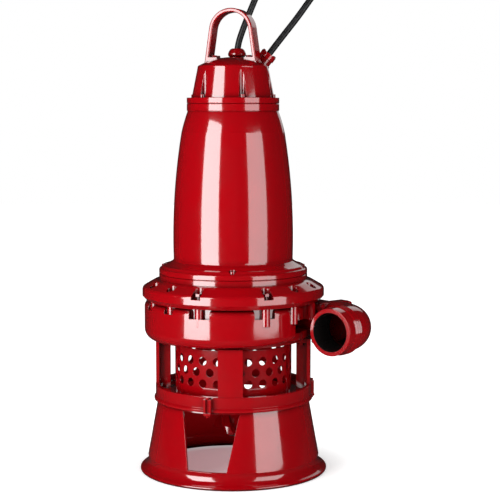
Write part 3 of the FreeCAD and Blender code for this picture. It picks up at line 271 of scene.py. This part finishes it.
def enamel(name, edge_radius, peel_scale, peel_depth):
    """Thick gloss enamel over a casting: orange peel, painted shade in corners, thin on edges."""
    material, tree, shader, place = blank_material(name)
    edges = placed_group(tree, edge_and_shade_group, [("Radius", edge_radius), ("Reach", 0.022)])
    peel = placed_group(tree, grain_group,
                        [("Place", place), ("Scale", peel_scale), ("Depth", peel_depth),
                         ("Normal", edges.outputs["Rounded"])])
    patchy = spread(tree, peel.outputs["Value"], 0.35, 0.75, 0.0, 0.35)
    coat = mixed(tree, patchy, ENAMEL_RED, ENAMEL_DEEP)
    # painted shade: the occlusion mask darkens the enamel in corners and recesses
    coat_with_painted_shade = mixed(tree, edges.outputs["PaintedShade"], coat, ENAMEL_CORNER_SHADE)
    thin = spread(tree, edges.outputs["Edge"], 0.0, 1.0, 0.0, 0.5)
    tree.links.new(mixed(tree, thin, coat_with_painted_shade, ENAMEL_THIN), shader.inputs["Base Color"])
    tree.links.new(spread(tree, peel.outputs["Value"], 0.3, 0.7, 0.10, 0.18),
                   shader.inputs["Roughness"])
    tree.links.new(peel.outputs["Normal"], shader.inputs["Normal"])
    tree.links.new(peel.outputs["Normal"], shader.inputs["Coat Normal"])
    shader.inputs["Specular IOR Level"].default_value = 0.5
    shader.inputs["Coat Weight"].default_value = 1.0
    shader.inputs["Coat Roughness"].default_value = 0.03
    shader.inputs["Coat IOR"].default_value = 1.8
    return material


cast_enamel = enamel("red_enamel_on_cast_iron", 0.0022, 260.0, 0.00003)
plate_enamel = enamel("red_enamel_on_plate", 0.0012, 340.0, 0.00002)
dress(plate_enamel, "base_skirt", "strainer_frame", "strainer_plate", "leg_screws", "clamp_bolts")


# ---------------------------------------------------------------------------------------------
# The suction end: the suction cover that closes the casing from below, and the volute casing
# with its bolt pockets, cast in grey iron and enamelled once the pump is put together.
# ---------------------------------------------------------------------------------------------
dress(cast_enamel, "suction_cover", "volute_casing", "pump_cover", "pump_cover_bolts")
gasket_fibre = rubber("gasket_fibre", (0.050, 0.052, 0.048, 1), (0.110, 0.112, 0.105, 1), 0.70)
dress(gasket_fibre, "casing_gasket", "discharge_gasket")


# ---------------------------------------------------------------------------------------------
# The discharge: a cast elbow on the casing's square flange and the turned hose spigot with its
# low barbs, enamelled like the rest.
# ---------------------------------------------------------------------------------------------
dress(cast_enamel, "elbow_bolts")
BORE_RADIUS = 0.0598
# bare iron inside the bore, near black as painted shade
BORE_IRON_AND_SHADE = (0.012, 0.009, 0.009, 1)
SPIGOT_END = (0.293, -0.236, 0.473)
SPIGOT_WAY = (-0.6, -0.8, 0.0)
BEND_CENTRE = (0.273, -0.121, 0.473)
BEND_RADIUS = 0.085


def vector(tree, operation, first, second=None):
    """A vector sum, product or length of the object's coordinates, as a shader node."""
    links = [(0, first)] if second is None else [(0, first), (1, second)]
    return put(tree, "ShaderNodeVectorMath", links, operation=operation)


def from_spigot_line(tree, place):
    """Distance from the straight line through the spigot's end: |(place - end) x way|."""
    offset = vector(tree, "SUBTRACT", place, SPIGOT_END)
    sideways = vector(tree, "CROSS_PRODUCT", offset.outputs[0], SPIGOT_WAY)
    return vector(tree, "LENGTH", sideways.outputs[0]).outputs["Value"]


def from_bend_circle(tree, place):
    """Distance from the level circle that the elbow's bend follows, as from a torus's core."""
    offset = vector(tree, "SUBTRACT", place, BEND_CENTRE)
    level = vector(tree, "MULTIPLY", offset.outputs[0], (1.0, 1.0, 0.0))
    reach = vector(tree, "LENGTH", level.outputs[0])
    outward = put(tree, "ShaderNodeMath", [(0, reach.outputs["Value"]), (1, BEND_RADIUS)],
                  operation="SUBTRACT")
    rise = put(tree, "ShaderNodeSeparateXYZ", [(0, offset.outputs[0])])
    section = put(tree, "ShaderNodeCombineXYZ", [(0, outward.outputs[0]), (1, rise.outputs[2])])
    return vector(tree, "LENGTH", section.outputs[0]).outputs["Value"]


def bare_and_shaded_bore(material, distance_from):
    """Leaves the enamel off the bore: bare iron darkened to near black as painted shade, nearer
    than the bore's radius to its line.
    """
    tree = material.node_tree
    shader = tree.nodes["Principled BSDF"]
    place = put(tree, "ShaderNodeTexCoord").outputs["Object"]
    distance = distance_from(tree, place)
    inside = spread(tree, distance, BORE_RADIUS, BORE_RADIUS + 0.0006, 1.0, 0.0)
    painted = shader.inputs["Base Color"].links[0].from_socket
    tree.links.new(mixed(tree, inside, painted, BORE_IRON_AND_SHADE), shader.inputs["Base Color"])
    tree.links.new(spread(tree, inside, 0.0, 1.0, 1.0, 0.0), shader.inputs["Coat Weight"])
    tree.links.new(spread(tree, inside, 0.0, 1.0, 0.5, 0.1), shader.inputs["Specular IOR Level"])
    return material


spigot_enamel = enamel("red_enamel_on_hose_spigot", 0.0012, 340.0, 0.00002)
dress(bare_and_shaded_bore(spigot_enamel, from_spigot_line), "hose_spigot")
elbow_enamel = enamel("red_enamel_on_elbow", 0.0022, 260.0, 0.00003)
dress(bare_and_shaded_bore(elbow_enamel, from_bend_circle), "discharge_elbow")


# ---------------------------------------------------------------------------------------------
# The wet end: high-chrome impeller and enamelled agitator on the shaft, with their nuts.
# ---------------------------------------------------------------------------------------------
wear_iron = bare_metal("wear_iron", (0.20, 0.19, 0.18, 1), (0.42, 0.41, 0.40, 1),
                       0.55, 300.0, 0.00012)
dress(wear_iron, "impeller")
dress(cast_enamel, "agitator")
stainless = bare_metal("stainless_steel", (0.58, 0.57, 0.55, 1), (0.75, 0.74, 0.72, 1),
                       0.28, 900.0, 0.00001)
dress(stainless, "shaft", "impeller_nut", "agitator_nut", "seal_spring")


# ---------------------------------------------------------------------------------------------
# The seals, bearings and motor that the housings hide.
# ---------------------------------------------------------------------------------------------
carbide = bare_metal("seal_carbide", (0.060, 0.062, 0.066, 1), (0.12, 0.12, 0.13, 1),
                     0.22, 700.0, 0.000005)
dress(carbide, "lower_seal_rotor", "upper_seal_rotor", "lower_seal_seat", "upper_seal_seat")
bearing_steel = bare_metal("bearing_steel", (0.52, 0.53, 0.55, 1), (0.70, 0.71, 0.73, 1),
                           0.18, 900.0, 0.000004)
dress(bearing_steel, "lower_bearing_outer", "lower_bearing_inner", "lower_bearing_balls",
      "upper_bearing_outer", "upper_bearing_inner", "upper_bearing_balls")
bare_iron = bare_metal("bare_iron", (0.25, 0.24, 0.23, 1), (0.45, 0.44, 0.43, 1),
                       0.50, 300.0, 0.00010)
dress(bare_iron, "bearing_bracket", "upper_bearing_bracket", "bracket_screws")
lamination = bare_metal("lamination_steel", (0.30, 0.31, 0.33, 1), (0.50, 0.51, 0.53, 1),
                        0.40, 1800.0, 0.00004)
dress(lamination, "stator_core", "rotor_core")
copper = bare_metal("copper_winding", (0.62, 0.26, 0.12, 1), (0.78, 0.40, 0.22, 1),
                    0.35, 900.0, 0.00010)
dress(copper, "stator_windings")
resin = rubber("terminal_resin", (0.060, 0.050, 0.030, 1), (0.120, 0.100, 0.070, 1), 0.45)
dress(resin, "terminal_board")


# ---------------------------------------------------------------------------------------------
# The housings: oil housing, long barrel of the motor and the end cover, with their screws, the
# lifting handle bent from flat bar, and the two cable glands.
# ---------------------------------------------------------------------------------------------
dress(cast_enamel, "oil_housing", "oil_plug", "motor_housing", "shoulder_screws", "top_cover",
      "top_cover_screws", "power_gland", "side_gland", "side_gland_screws")
dress(plate_enamel, "lifting_handle", "handle_screws")
black_rubber = rubber("black_rubber", (0.012, 0.012, 0.012, 1), (0.040, 0.040, 0.040, 1), 0.55)
dress(black_rubber, "power_grommet", "side_grommet", "cover_o_ring")


# ---------------------------------------------------------------------------------------------
# The studio: a pale floor, a tall soft box to the left, a weaker one to the right, a faint one
# behind, a soft fill from the front, and a grey room that shows white behind the pump.
# ---------------------------------------------------------------------------------------------
FLOOR_HALF = 12.0
FLOOR_WHITE = (0.85, 0.85, 0.85, 1)
FLOOR_MIRRORED = (0.05, 0.04, 0.04, 1)
GLOW_WHITE = (1, 1, 1, 1)
# pink glow inside the base: painted red light bounced from its walls
GLOW_PAINTED_RED_BOUNCE = (0.75, 0.50, 0.53, 1)
ROOM_LEVEL = 0.26
ROOM_LEVEL_MIRRORED = 0.01
floor_mesh = bpy.data.meshes.new("floor")
floor_mesh.from_pydata([(-FLOOR_HALF, -FLOOR_HALF, 0.0), (FLOOR_HALF, -FLOOR_HALF, 0.0),
                        (FLOOR_HALF, FLOOR_HALF, 0.0), (-FLOOR_HALF, FLOOR_HALF, 0.0)],
                       [], [(0, 1, 2, 3)])
floor = bpy.data.objects.new("floor", floor_mesh)
bpy.context.scene.collection.objects.link(floor)
floor_paint, floor_tree, floor_shader, floor_place = blank_material("floor_paint")
floor_shader.inputs["Roughness"].default_value = 0.7
floor_shader.inputs["Specular IOR Level"].default_value = 0.0
seen = put(floor_tree, "ShaderNodeLightPath")
floor_tree.links.new(mixed(floor_tree, seen.outputs["Is Glossy Ray"], FLOOR_WHITE,
                           FLOOR_MIRRORED), floor_shader.inputs["Base Color"])
# The floor's glow is weaker near the pump, a painted shade around its foot, and pink inside the
# base, a painted red bounce from the base's walls.
away = put(floor_tree, "ShaderNodeVectorMath", [(0, floor_place)], operation="LENGTH")
glow_with_painted_shade = spread(floor_tree, away.outputs["Value"], 0.28, 0.50, 0.42, 1.0)
outside = spread(floor_tree, away.outputs["Value"], 0.24, 0.30, 0.0, 1.0)
floor_tree.links.new(mixed(floor_tree, outside, GLOW_PAINTED_RED_BOUNCE, GLOW_WHITE),
                     floor_shader.inputs["Emission Color"])
floor_glow = put(floor_tree, "ShaderNodeMath",
                 [(0, seen.outputs["Is Camera Ray"]), (1, glow_with_painted_shade)], operation="MULTIPLY")
floor_tree.links.new(floor_glow.outputs[0], floor_shader.inputs["Emission Strength"])
floor_mesh.materials.append(floor_paint)


def area_lamp(name, width, height, radiance, location, rotation, mirrored=True):
    """A plain rectangular lamp of even radiance in W/m2/sr that the viewer doesn't see."""
    lamp = bpy.data.lights.new(name, "AREA")
    lamp.shape = "RECTANGLE"
    lamp.size = width
    lamp.size_y = height
    lamp.energy = radiance * math.pi * width * height
    box = bpy.data.objects.new(name, lamp)
    box.location = location
    box.rotation_euler = rotation
    box.visible_camera = False
    box.visible_glossy = mirrored
    bpy.context.scene.collection.objects.link(box)


def soft_box(name, azimuth, distance, low, high, width, radiance, mirrored=True):
    """An upright soft box that faces the pump, at an azimuth in degrees from the front."""
    turn = math.radians(azimuth)
    middle = (distance * math.sin(turn), -distance * math.cos(turn), (low + high) / 2)
    area_lamp(name, width, high - low, radiance, middle, (math.radians(90.0), 0.0, turn), mirrored)


soft_box("left_soft_box", -43.0, 2.2, 0.12, 2.30, 1.35, 5.9)
soft_box("right_soft_box", 47.5, 2.2, 0.14, 1.98, 1.47, 2.35)
soft_box("back_soft_box", 158.0, 3.0, 1.25, 2.60, 1.2, 0.6)
soft_box("front_fill", -6.0, 5.2, 0.30, 2.30, 2.6, 1.9, mirrored=False)

# what the pale floor throws up inside the base
area_lamp("floor_bounce", 0.30, 0.30, 1.1, (0.0, 0.0, 0.02), (math.radians(180.0), 0.0, 0.0),
          mirrored=False)

room = bpy.data.worlds.new("room")
bpy.context.scene.world = room
room.use_nodes = True
room_tree = room.node_tree
ray = put(room_tree, "ShaderNodeLightPath")
in_gloss = put(room_tree, "ShaderNodeMath",
               [(0, ray.outputs["Is Glossy Ray"]), (1, ROOM_LEVEL_MIRRORED - ROOM_LEVEL),
                (2, ROOM_LEVEL)], operation="MULTIPLY_ADD")
open_view = put(room_tree, "ShaderNodeMath",
                [(0, ray.outputs["Is Camera Ray"]), (1, ray.outputs["Is Transmission Ray"])],
                operation="MAXIMUM")
room_light = put(room_tree, "ShaderNodeMath", [(0, open_view.outputs[0]), (1, in_gloss.outputs[0])],
                 operation="MAXIMUM")
sky = room_tree.nodes["Background"]
sky.inputs["Color"].default_value = (1, 1, 1, 1)
room_tree.links.new(room_light.outputs[0], sky.inputs["Strength"])
